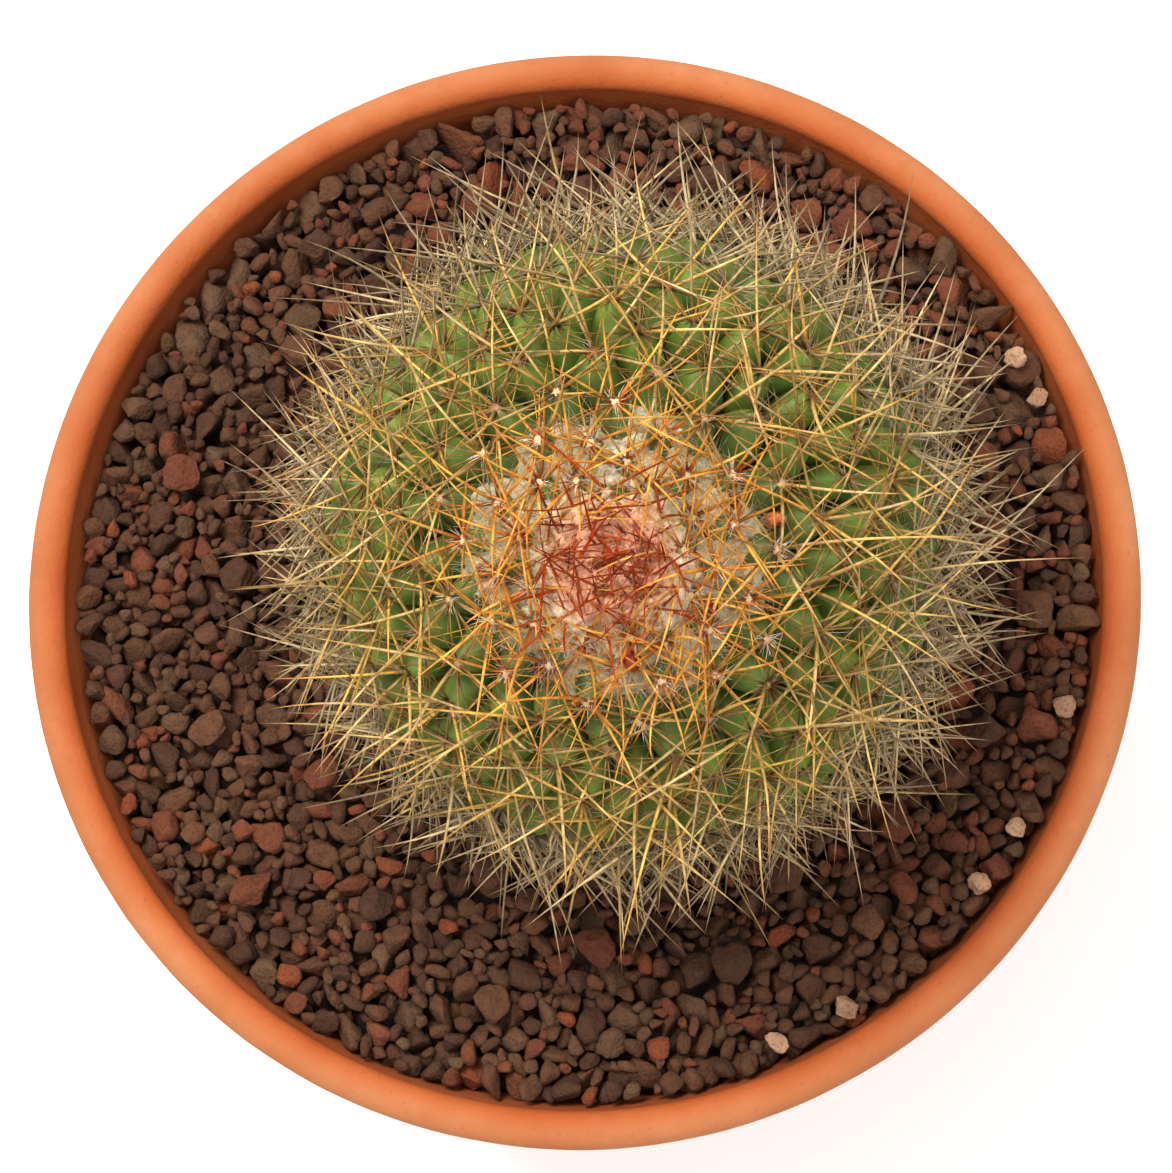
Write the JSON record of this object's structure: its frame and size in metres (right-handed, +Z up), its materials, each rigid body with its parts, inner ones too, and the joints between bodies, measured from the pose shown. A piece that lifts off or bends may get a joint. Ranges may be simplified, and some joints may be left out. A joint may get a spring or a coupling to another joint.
{
  "type": "potted round cactus",
  "caption": "Round spiny cactus with a woolly crown in a terracotta pot, top-dressed with brown lava grit.",
  "frame": {"origin": "centre of the pot's flat foot, on the surface it stands on", "axes": "+Z up along the pot's axis; the cactus leans its crown towards -Y; the grit rises slightly towards +X"},
  "size_m": [0.2, 0.2, 0.2273],
  "materials": {
    "terracotta": "matte",
    "broken_terracotta": "matte",
    "gravel": "matte",
    "potting_soil": "matte",
    "lava_grit": "matte",
    "lava_stone": "matte",
    "pale_stone": "matte",
    "cactus_skin": "satin",
    "spine": "satin",
    "wool": "matte",
    "dried_petal": "matte",
    "dried_husk": "matte"
  },
  "bodies": {
    "root": {"cactus_stem": "cactus_skin", "drain_crock": "broken_terracotta", "drainage_gravel": "gravel", "dried_flower_1": "dried_petal", "dried_flower_2": "dried_petal", "dried_flower_3": "dried_petal", "dried_flower_4": "dried_petal", "dried_flower_5": "dried_petal", "dry_fruit": "dried_husk", "lava_bed": "lava_grit", "lava_stone_01": "lava_stone", "lava_stone_02": "lava_stone", "lava_stone_03": "lava_stone", "lava_stone_04": "lava_stone", "lava_stone_05": "lava_stone", "lava_stone_06": "lava_stone", "lava_stone_07": "lava_stone", "lava_stone_08": "lava_stone", "lava_stone_09": "lava_stone", "lava_stone_10": "lava_stone", "lava_stone_11": "lava_stone", "lava_stone_12": "lava_stone", "lava_stone_13": "lava_stone", "lava_stone_14": "lava_stone", "lava_stone_15": "lava_stone", "lava_stone_16": "lava_stone", "lava_stone_17": "lava_stone", "lava_stone_18": "lava_stone", "lava_stone_19": "lava_stone", "lava_stone_20": "lava_stone", "lava_stone_21": "lava_stone", "lava_stone_22": "lava_stone", "lava_stone_23": "lava_stone", "lava_stone_24": "lava_stone", "lava_stone_25": "lava_stone", "lava_stone_26": "lava_stone", "lava_stone_27": "lava_stone", "lava_stone_28": "lava_stone", "lava_stone_29": "lava_stone", "lava_stone_30": "lava_stone", "lava_stone_31": "lava_stone", "lava_stone_32": "lava_stone", "lava_stone_33": "lava_stone", "lava_stone_34": "lava_stone", "lava_stone_35": "lava_stone", "lava_stone_36": "lava_stone", "pale_stone_1": "pale_stone", "pale_stone_2": "pale_stone", "pale_stone_3": "pale_stone", "pale_stone_4": "pale_stone", "pale_stone_5": "pale_stone", "pale_stone_6": "pale_stone", "pale_stone_7": "pale_stone", "pot": "terracotta", "potting_mix": "potting_soil"}
  },
  "joints": []
}
